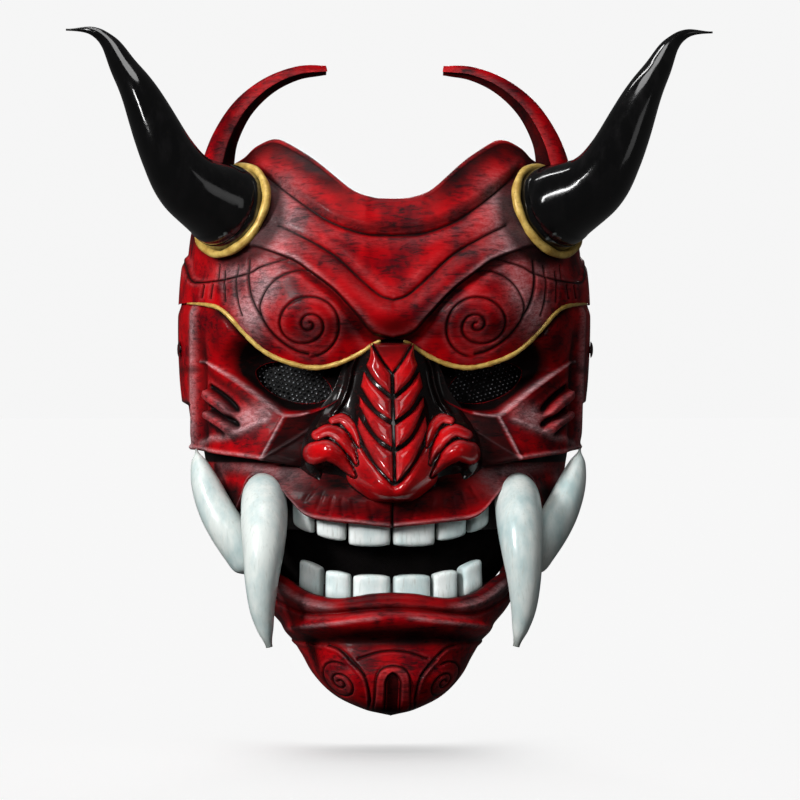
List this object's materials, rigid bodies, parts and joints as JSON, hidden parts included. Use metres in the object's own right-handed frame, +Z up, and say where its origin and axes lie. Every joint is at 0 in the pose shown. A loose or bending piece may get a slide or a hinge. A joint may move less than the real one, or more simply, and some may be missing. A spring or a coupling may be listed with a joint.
{
  "type": "horned demon mask",
  "caption": "Full-face red lacquered demon mask with black horns, crown arms, bared teeth and tusks, lined and worn on an elastic head strap.",
  "frame": {"origin": "on the wearer's eye line, midway between the eyes, in the plane of the shell's back rim", "axes": "+X to the viewer's right, +Y into the wearer's head and square to the back rim, +Z up; the face looks along -Y"},
  "size_m": [0.3144, 0.1163, 0.3346],
  "materials": {
    "red_lacquer": "antiqued red lacquer over a cast shell, dark in the recesses, worn on the ridges",
    "gloss_red": "glossy red lacquer with black creases",
    "black_horn": "polished black lacquer",
    "gold": "satin gold paint",
    "ivory": "off-white paint with grey-green washes, satin",
    "dark_gum": "matt dark red-black",
    "black_cloth": "black fabric",
    "black_mesh": "black perforated sheet",
    "foam": "closed-cell foam faced with black fabric",
    "elastic": "woven black elastic",
    "black_plastic": "moulded black acetal",
    "steel": "zinc-plated steel",
    "dark_steel": "dark painted rivet head"
  },
  "bodies": {
    "mask": {"face_shell": "red_lacquer", "forehead_pad": "foam", "head_strap": "elastic", "left_brow_trim": "gold", "left_crown_arm": "red_lacquer", "left_eye_screen": "black_mesh", "left_horn": "black_horn", "left_horn_ring": "gold", "left_horn_screw": "steel", "left_horn_washer": "steel", "left_lower_tooth_1": "ivory", "left_lower_tooth_2": "ivory", "left_lower_tooth_3": "ivory", "left_lower_tusk": "ivory", "left_strap_bracket": "steel", "left_strap_rivet": "dark_steel", "left_temple_pad": "foam", "left_upper_tooth_1": "ivory", "left_upper_tooth_2": "ivory", "left_upper_tooth_3": "ivory", "left_upper_tusk": "ivory", "lower_gum": "dark_gum", "lower_jaw": "red_lacquer", "mouth_lining": "black_cloth", "muzzle": "red_lacquer", "nose": "gloss_red", "right_brow_trim": "gold", "right_crown_arm": "red_lacquer", "right_eye_screen": "black_mesh", "right_horn": "black_horn", "right_horn_ring": "gold", "right_horn_screw": "steel", "right_horn_washer": "steel", "right_lower_tooth_1": "ivory", "right_lower_tooth_2": "ivory", "right_lower_tooth_3": "ivory", "right_lower_tusk": "ivory", "right_strap_bracket": "steel", "right_strap_rivet": "dark_steel", "right_temple_pad": "foam", "right_upper_tooth_1": "ivory", "right_upper_tooth_2": "ivory", "right_upper_tooth_3": "ivory", "right_upper_tusk": "ivory", "upper_gum": "dark_gum"},
    "slider": {"strap_slider": "black_plastic"}
  },
  "joints": [
    {"name": "slider_slide", "type": "slide", "parent": "mask", "child": "slider", "axis": [1, 0, 0], "range_m": [-0.022, 0.024]}
  ]
}
